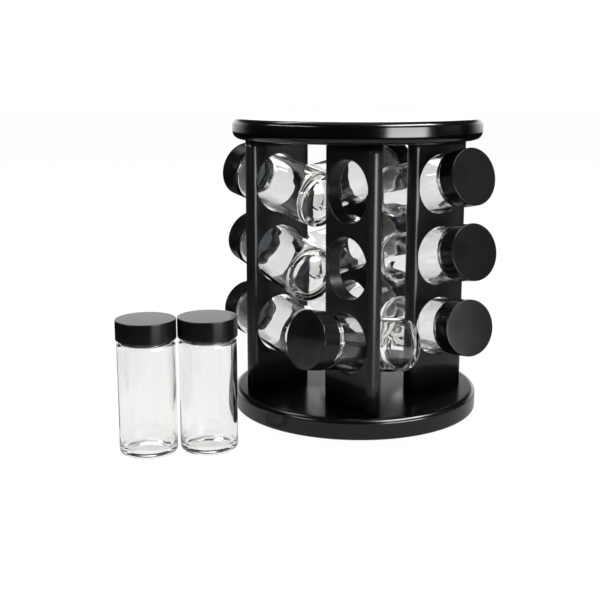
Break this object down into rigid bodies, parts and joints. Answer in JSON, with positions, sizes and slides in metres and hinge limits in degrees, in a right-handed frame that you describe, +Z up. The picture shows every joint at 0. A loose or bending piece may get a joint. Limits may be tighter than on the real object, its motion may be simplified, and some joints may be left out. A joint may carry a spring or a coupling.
{
  "type": "spice carousel",
  "caption": "Round turning spice rack: black boards between two discs hold capped glass jars in round sockets, and two jars stand beside it.",
  "frame": {"origin": "on the turning axis, at the underside of the foot's non-slip pad", "axes": "+Z up along the turning axis; -Y is the outward side of panel_b and +X of panel_c, and the standing jars are towards -Y"},
  "size_m": [0.2, 0.307, 0.245],
  "materials": {
    "black_lacquer": "satin-gloss black lacquer over wood",
    "foot_plastic": "matt black moulded plastic",
    "pad_rubber": "matt black non-slip rubber",
    "bearing_steel": "polished steel balls",
    "plate_steel": "zinc-plated pressed steel",
    "bolt_steel": "zinc-plated turned steel",
    "beech": "bare beech",
    "clear_glass": "clear pressed glass",
    "shaker_plastic": "pale grey translucent plastic",
    "liner_foam": "white foamed plastic",
    "cap_black": "satin-gloss black plastic"
  },
  "bodies": {
    "foot": {"foot_pad": "pad_rubber", "foot_disc": "foot_plastic"},
    "ball_ring": {"bearing_balls": "bearing_steel"},
    "carousel": {"race_plate": "plate_steel", "pivot_bolt": "bolt_steel", "bottom_disc": "black_lacquer", "panel_a": "black_lacquer", "panel_b": "black_lacquer", "panel_c": "black_lacquer", "panel_d": "black_lacquer", "dowels": "beech", "top_disc": "black_lacquer"},
    "jar_a1": {"glass_a1": "clear_glass", "shaker_a1": "shaker_plastic"},
    "seal_a1": {"liner_a1": "liner_foam"},
    "lid_a1": {"cap_a1": "cap_black"},
    "jar_a2": {"glass_a2": "clear_glass", "shaker_a2": "shaker_plastic"},
    "seal_a2": {"liner_a2": "liner_foam"},
    "lid_a2": {"cap_a2": "cap_black"},
    "jar_a3": {"glass_a3": "clear_glass", "shaker_a3": "shaker_plastic"},
    "seal_a3": {"liner_a3": "liner_foam"},
    "lid_a3": {"cap_a3": "cap_black"},
    "jar_b3": {"glass_b3": "clear_glass", "shaker_b3": "shaker_plastic"},
    "seal_b3": {"liner_b3": "liner_foam"},
    "lid_b3": {"cap_b3": "cap_black"},
    "jar_c1": {"glass_c1": "clear_glass", "shaker_c1": "shaker_plastic"},
    "seal_c1": {"liner_c1": "liner_foam"},
    "lid_c1": {"cap_c1": "cap_black"},
    "jar_c2": {"glass_c2": "clear_glass", "shaker_c2": "shaker_plastic"},
    "seal_c2": {"liner_c2": "liner_foam"},
    "lid_c2": {"cap_c2": "cap_black"},
    "jar_c3": {"glass_c3": "clear_glass", "shaker_c3": "shaker_plastic"},
    "seal_c3": {"liner_c3": "liner_foam"},
    "lid_c3": {"cap_c3": "cap_black"},
    "jar_d1": {"glass_d1": "clear_glass", "shaker_d1": "shaker_plastic"},
    "seal_d1": {"liner_d1": "liner_foam"},
    "lid_d1": {"cap_d1": "cap_black"},
    "jar_d2": {"glass_d2": "clear_glass", "shaker_d2": "shaker_plastic"},
    "seal_d2": {"liner_d2": "liner_foam"},
    "lid_d2": {"cap_d2": "cap_black"},
    "jar_d3": {"glass_d3": "clear_glass", "shaker_d3": "shaker_plastic"},
    "seal_d3": {"liner_d3": "liner_foam"},
    "lid_d3": {"cap_d3": "cap_black"},
    "jar_b1": {"glass_b1": "clear_glass", "shaker_b1": "shaker_plastic"},
    "seal_b1": {"liner_b1": "liner_foam"},
    "lid_b1": {"cap_b1": "cap_black"},
    "jar_b2": {"glass_b2": "clear_glass", "shaker_b2": "shaker_plastic"},
    "seal_b2": {"liner_b2": "liner_foam"},
    "lid_b2": {"cap_b2": "cap_black"}
  },
  "joints": [
    {"name": "carousel_turn", "type": "hinge", "parent": "foot", "child": "carousel", "pos_m": [0, 0, 0], "axis": [0, 0, 1], "continuous": true},
    {"name": "ball_ring_roll", "type": "hinge", "parent": "foot", "child": "ball_ring", "pos_m": [0, 0, 0], "axis": [0, 0, 1], "continuous": true},
    {"name": "jar_a1_slide", "type": "slide", "parent": "carousel", "child": "jar_a1", "axis": [-0.9791, -0.0788, 0.1874], "range_m": [0, 0.07]},
    {"name": "cap_a1_rise", "type": "slide", "parent": "jar_a1", "child": "seal_a1", "axis": [-0.9791, -0.0788, 0.1874], "range_m": [0, 0.004]},
    {"name": "cap_a1_turn", "type": "hinge", "parent": "seal_a1", "child": "lid_a1", "pos_m": [-0.07472, -0.05103, 0.19855], "axis": [-0.9791, -0.0788, 0.1874], "range_deg": [0, 450]},
    {"name": "jar_a2_slide", "type": "slide", "parent": "carousel", "child": "jar_a2", "axis": [-0.9791, 0.0788, 0.1874], "range_m": [0, 0.07]},
    {"name": "cap_a2_rise", "type": "slide", "parent": "jar_a2", "child": "seal_a2", "axis": [-0.9791, 0.0788, 0.1874], "range_m": [0, 0.004]},
    {"name": "cap_a2_turn", "type": "hinge", "parent": "seal_a2", "child": "lid_a2", "pos_m": [-0.07491, -0.04585, 0.14028], "axis": [-0.9791, 0.0788, 0.1874], "range_deg": [0, 450]},
    {"name": "jar_a3_slide", "type": "slide", "parent": "carousel", "child": "jar_a3", "axis": [-0.9937, 0.0904, 0.0663], "range_m": [0, 0.07]},
    {"name": "cap_a3_rise", "type": "slide", "parent": "jar_a3", "child": "seal_a3", "axis": [-0.9937, 0.0904, 0.0663], "range_m": [0, 0.004]},
    {"name": "cap_a3_turn", "type": "hinge", "parent": "seal_a3", "child": "lid_a3", "pos_m": [-0.08414, -0.04467, 0.07857], "axis": [-0.9937, 0.0904, 0.0663], "range_deg": [0, 450]},
    {"name": "jar_b3_slide", "type": "slide", "parent": "carousel", "child": "jar_b3", "axis": [0.0239, -0.9793, 0.2011], "range_m": [0, 0.07]},
    {"name": "cap_b3_rise", "type": "slide", "parent": "jar_b3", "child": "seal_b3", "axis": [0.0239, -0.9793, 0.2011], "range_m": [0, 0.004]},
    {"name": "cap_b3_turn", "type": "hinge", "parent": "seal_b3", "child": "lid_b3", "pos_m": [0.04928, -0.07668, 0.0828], "axis": [0.0239, -0.9793, 0.2011], "range_deg": [0, 450]},
    {"name": "jar_c1_slide", "type": "slide", "parent": "carousel", "child": "jar_c1", "axis": [0.9781, -0.0376, 0.2045], "range_m": [0, 0.07]},
    {"name": "cap_c1_rise", "type": "slide", "parent": "jar_c1", "child": "seal_c1", "axis": [0.9781, -0.0376, 0.2045], "range_m": [0, 0.004]},
    {"name": "cap_c1_turn", "type": "hinge", "parent": "seal_c1", "child": "lid_c1", "pos_m": [0.0739, 0.04725, 0.19894], "axis": [0.9781, -0.0376, 0.2045], "range_deg": [0, 450]},
    {"name": "jar_c2_slide", "type": "slide", "parent": "carousel", "child": "jar_c2", "axis": [0.9788, -0.0822, 0.1874], "range_m": [0, 0.07]},
    {"name": "cap_c2_rise", "type": "slide", "parent": "jar_c2", "child": "seal_c2", "axis": [0.9788, -0.0822, 0.1874], "range_m": [0, 0.004]},
    {"name": "cap_c2_turn", "type": "hinge", "parent": "seal_c2", "child": "lid_c2", "pos_m": [0.07931, 0.04537, 0.14113], "axis": [0.9788, -0.0822, 0.1874], "range_deg": [0, 450]},
    {"name": "jar_c3_slide", "type": "slide", "parent": "carousel", "child": "jar_c3", "axis": [0.9791, -0.1376, 0.1495], "range_m": [0, 0.07]},
    {"name": "cap_c3_rise", "type": "slide", "parent": "jar_c3", "child": "seal_c3", "axis": [0.9791, -0.1376, 0.1495], "range_m": [0, 0.004]},
    {"name": "cap_c3_turn", "type": "hinge", "parent": "seal_c3", "child": "lid_c3", "pos_m": [0.07951, 0.04326, 0.08144], "axis": [0.9791, -0.1376, 0.1495], "range_deg": [0, 450]},
    {"name": "jar_d1_slide", "type": "slide", "parent": "carousel", "child": "jar_d1", "axis": [-0.0344, 0.9842, 0.1736], "range_m": [0, 0.07]},
    {"name": "cap_d1_rise", "type": "slide", "parent": "jar_d1", "child": "seal_d1", "axis": [-0.0344, 0.9842, 0.1736], "range_m": [0, 0.004]},
    {"name": "cap_d1_turn", "type": "hinge", "parent": "seal_d1", "child": "lid_d1", "pos_m": [-0.04962, 0.07606, 0.1983], "axis": [-0.0344, 0.9842, 0.1736], "range_deg": [0, 450]},
    {"name": "jar_d2_slide", "type": "slide", "parent": "carousel", "child": "jar_d2", "axis": [-0.0344, 0.9857, 0.165], "range_m": [0, 0.07]},
    {"name": "cap_d2_rise", "type": "slide", "parent": "jar_d2", "child": "seal_d2", "axis": [-0.0344, 0.9857, 0.165], "range_m": [0, 0.004]},
    {"name": "cap_d2_turn", "type": "hinge", "parent": "seal_d2", "child": "lid_d2", "pos_m": [-0.04969, 0.07809, 0.14004], "axis": [-0.0344, 0.9857, 0.165], "range_deg": [0, 450]},
    {"name": "jar_d3_slide", "type": "slide", "parent": "carousel", "child": "jar_d3", "axis": [-0.0172, 0.9831, 0.1822], "range_m": [0, 0.07]},
    {"name": "cap_d3_rise", "type": "slide", "parent": "jar_d3", "child": "seal_d3", "axis": [-0.0172, 0.9831, 0.1822], "range_m": [0, 0.004]},
    {"name": "cap_d3_turn", "type": "hinge", "parent": "seal_d3", "child": "lid_d3", "pos_m": [-0.04905, 0.07701, 0.08218], "axis": [-0.0172, 0.9831, 0.1822], "range_deg": [0, 450]},
    {"name": "jar_b1_lift", "type": "slide", "parent": "foot", "child": "jar_b1", "axis": [0, 0, 1], "range_m": [0, 0.06]},
    {"name": "cap_b1_rise", "type": "slide", "parent": "jar_b1", "child": "seal_b1", "axis": [0, 0, 1], "range_m": [0, 0.004]},
    {"name": "cap_b1_turn", "type": "hinge", "parent": "seal_b1", "child": "lid_b1", "pos_m": [-0.0184, -0.1845, 0.09], "axis": [0, 0, 1], "range_deg": [0, 450]},
    {"name": "jar_b2_lift", "type": "slide", "parent": "foot", "child": "jar_b2", "axis": [0, 0, 1], "range_m": [0, 0.06]},
    {"name": "cap_b2_rise", "type": "slide", "parent": "jar_b2", "child": "seal_b2", "axis": [0, 0, 1], "range_m": [0, 0.004]},
    {"name": "cap_b2_turn", "type": "hinge", "parent": "seal_b2", "child": "lid_b2", "pos_m": [0.002, -0.1438, 0.09], "axis": [0, 0, 1], "range_deg": [0, 450]}
  ],
  "couplings": [
    {"joint": "ball_ring_roll", "follows": "carousel_turn", "ratio": 0.5},
    {"joint": "cap_a1_rise", "follows": "cap_a1_turn", "m_per_rad": 0.00050929},
    {"joint": "cap_a2_rise", "follows": "cap_a2_turn", "m_per_rad": 0.00050929},
    {"joint": "cap_a3_rise", "follows": "cap_a3_turn", "m_per_rad": 0.00050929},
    {"joint": "cap_b3_rise", "follows": "cap_b3_turn", "m_per_rad": 0.00050929},
    {"joint": "cap_c1_rise", "follows": "cap_c1_turn", "m_per_rad": 0.00050929},
    {"joint": "cap_c2_rise", "follows": "cap_c2_turn", "m_per_rad": 0.00050929},
    {"joint": "cap_c3_rise", "follows": "cap_c3_turn", "m_per_rad": 0.00050929},
    {"joint": "cap_d1_rise", "follows": "cap_d1_turn", "m_per_rad": 0.00050929},
    {"joint": "cap_d2_rise", "follows": "cap_d2_turn", "m_per_rad": 0.00050929},
    {"joint": "cap_d3_rise", "follows": "cap_d3_turn", "m_per_rad": 0.00050929},
    {"joint": "cap_b1_rise", "follows": "cap_b1_turn", "m_per_rad": 0.00050929},
    {"joint": "cap_b2_rise", "follows": "cap_b2_turn", "m_per_rad": 0.00050929}
  ]
}
